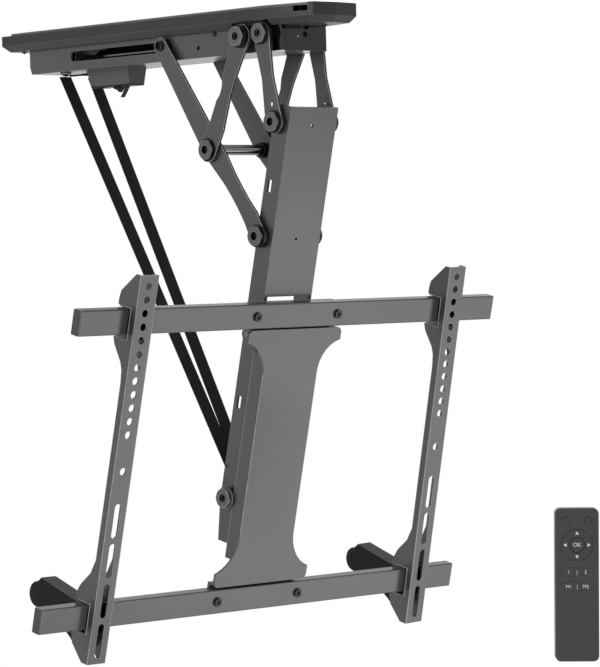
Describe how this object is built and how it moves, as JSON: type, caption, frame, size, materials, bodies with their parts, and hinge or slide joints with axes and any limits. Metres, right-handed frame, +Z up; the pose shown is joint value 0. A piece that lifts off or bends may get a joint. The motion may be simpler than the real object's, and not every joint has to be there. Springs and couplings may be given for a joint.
{
  "type": "flip-down ceiling tv mount",
  "caption": "Motorised flip-down ceiling TV mount in dark grey steel, with a folding arm linkage, two screen bars, hooked screen arms, safety straps and a remote control",
  "frame": {"origin": "middle of the ceiling plate's upper face, where it meets the ceiling", "axes": "+Z up towards the ceiling, X across the screen from left to right, -Y towards the viewer of the lowered screen"},
  "size_m": [0.6436, 0.6852, 0.7444],
  "materials": {
    "grey_coat": "semi_matte powder coat",
    "cap_coat": "semi-matte",
    "plain_steel": "satin",
    "zinc": "satin",
    "bright_steel": "bright",
    "cast_alloy": "cast",
    "brass": "satin",
    "grey_shell": "fine texture",
    "black_gloss": "gloss",
    "red_lens": "clear lens",
    "black_plastic": "matt",
    "motor_black": "satin",
    "lever_plastic": "satin",
    "webbing": "woven",
    "remote_plastic": "satin",
    "circuit": "satin",
    "key_rubber": "matt"
  },
  "bodies": {
    "ceiling_frame": {"ceiling_plate": "plain_steel", "rail_screws": "zinc", "cover_left": "grey_shell", "cover_right": "grey_shell", "cover_screws": "zinc", "rail_channel": "grey_coat", "rail_end_cap": "black_gloss", "status_led": "red_lens", "power_socket": "black_plastic", "drive_motor": "motor_black", "gearbox": "cast_alloy", "lead_screw": "bright_steel", "screw_bearing": "cast_alloy", "control_box": "grey_coat", "control_box_lid": "black_plastic", "strap_knobs": "zinc", "strap_left": "webbing", "strap_right": "webbing", "rail_axles": "bright_steel", "rail_axle_caps": "cap_coat", "rail_axle_washers": "black_plastic", "remote_front": "remote_plastic", "remote_back": "remote_plastic", "remote_board": "circuit"},
    "slider": {"slider_block": "cast_alloy", "slider_nut": "brass", "slider_pins": "bright_steel"},
    "drive_arms": {"drive_arm_left": "grey_coat", "drive_arm_right": "grey_coat", "column_pin": "bright_steel", "column_pin_caps": "cap_coat", "column_pin_washers": "black_plastic"},
    "swing_links": {"swing_link_left": "grey_coat", "swing_link_right": "grey_coat", "cross_tube": "bright_steel", "cross_tube_caps": "cap_coat", "cross_tube_washers": "black_plastic"},
    "stay_links": {"stay_link_left": "grey_coat", "stay_link_right": "grey_coat", "stay_bolts": "cap_coat", "stay_washers": "black_plastic"},
    "column": {"column_channel": "grey_coat", "centre_plate": "grey_coat", "spacer_pad": "black_plastic", "column_bolts": "cap_coat", "top_bar": "grey_coat", "lower_bar": "grey_coat", "bar_end_caps": "black_plastic", "bar_bolts": "cap_coat", "strap_bolt": "cap_coat"},
    "left_screen_arm": {"screen_arm_left": "grey_coat"},
    "right_screen_arm": {"screen_arm_right": "grey_coat"},
    "left_lock_lever": {"lock_lever_left": "lever_plastic"},
    "right_lock_lever": {"lock_lever_right": "lever_plastic"},
    "left_round_key": {"round_key_left": "key_rubber"},
    "right_round_key": {"round_key_right": "key_rubber"},
    "direction_ring_key": {"direction_ring": "key_rubber"},
    "ok_button": {"ok_key": "key_rubber"},
    "number_rocker": {"number_key": "key_rubber"},
    "memory_rocker": {"memory_key": "key_rubber"}
  },
  "joints": [
    {"name": "fold", "type": "hinge", "parent": "ceiling_frame", "child": "swing_links", "pos_m": [0, -0.156, -0.032], "axis": [1, 0, 0], "range_deg": [0, 52], "deforming": ["strap_left", "strap_right"]},
    {"name": "drive_arm_swing", "type": "hinge", "parent": "swing_links", "child": "drive_arms", "pos_m": [0, -0.096, -0.156], "axis": [1, 0, 0], "range_deg": [-98, 0]},
    {"name": "slider_level", "type": "hinge", "parent": "drive_arms", "child": "slider", "pos_m": [0, -0.016, -0.033], "axis": [1, 0, 0], "range_deg": [0, 46]},
    {"name": "column_swing", "type": "hinge", "parent": "drive_arms", "child": "column", "pos_m": [0, -0.16898, -0.25596], "axis": [1, 0, 0], "range_deg": [0, 121]},
    {"name": "stay_swing", "type": "hinge", "parent": "ceiling_frame", "child": "stay_links", "pos_m": [0, -0.184, -0.03], "axis": [1, 0, 0], "range_deg": [-53.5, 0]},
    {"name": "left_arm_slide", "type": "slide", "parent": "column", "child": "left_screen_arm", "axis": [1, 0, 0], "range_m": [-0.06, 0.12]},
    {"name": "right_arm_slide", "type": "slide", "parent": "column", "child": "right_screen_arm", "axis": [1, 0, 0], "range_m": [-0.12, 0.045]},
    {"name": "left_lever_turn", "type": "hinge", "parent": "left_screen_arm", "child": "left_lock_lever", "pos_m": [-0.24396, -0.08808, -0.69492], "axis": [1, 0.0016, -0.0066], "range_deg": [-70, 0]},
    {"name": "right_lever_turn", "type": "hinge", "parent": "right_screen_arm", "child": "right_lock_lever", "pos_m": [0.25495, -0.08814, -0.69468], "axis": [0.9993, -0.009, 0.0361], "range_deg": [-70, 0]},
    {"name": "left_round_press", "type": "slide", "parent": "ceiling_frame", "child": "left_round_key", "axis": [0.6967, 0.7174, 0], "range_m": [0, 0.0008], "stiffness_N_per_m": 600},
    {"name": "right_round_press", "type": "slide", "parent": "ceiling_frame", "child": "right_round_key", "axis": [0.6967, 0.7174, 0], "range_m": [0, 0.0008], "stiffness_N_per_m": 600},
    {"name": "direction_ring_press", "type": "slide", "parent": "ceiling_frame", "child": "direction_ring_key", "axis": [0.6967, 0.7174, 0], "range_m": [0, 0.0008], "stiffness_N_per_m": 600},
    {"name": "ok_press", "type": "slide", "parent": "ceiling_frame", "child": "ok_button", "axis": [0.6967, 0.7174, 0], "range_m": [0, 0.0008], "stiffness_N_per_m": 600},
    {"name": "number_rock", "type": "hinge", "parent": "ceiling_frame", "child": "number_rocker", "pos_m": [0.21413, -0.40246, -0.64363], "axis": [0.0175, -0.017, 0.9997], "range_deg": [-1.5, 1.5], "stiffness_Nm_per_rad": 0.05},
    {"name": "memory_rock", "type": "hinge", "parent": "ceiling_frame", "child": "memory_rocker", "pos_m": [0.21384, -0.40218, -0.65982], "axis": [0.0175, -0.017, 0.9997], "range_deg": [-1.5, 1.5], "stiffness_Nm_per_rad": 0.05}
  ],
  "couplings": [
    {"joint": "drive_arm_swing", "follows": "fold", "ratio": -1.88},
    {"joint": "slider_level", "follows": "fold", "ratio": 0.88},
    {"joint": "column_swing", "follows": "fold", "ratio": 2.3242},
    {"joint": "stay_swing", "follows": "fold", "ratio": -1.0251}
  ]
}
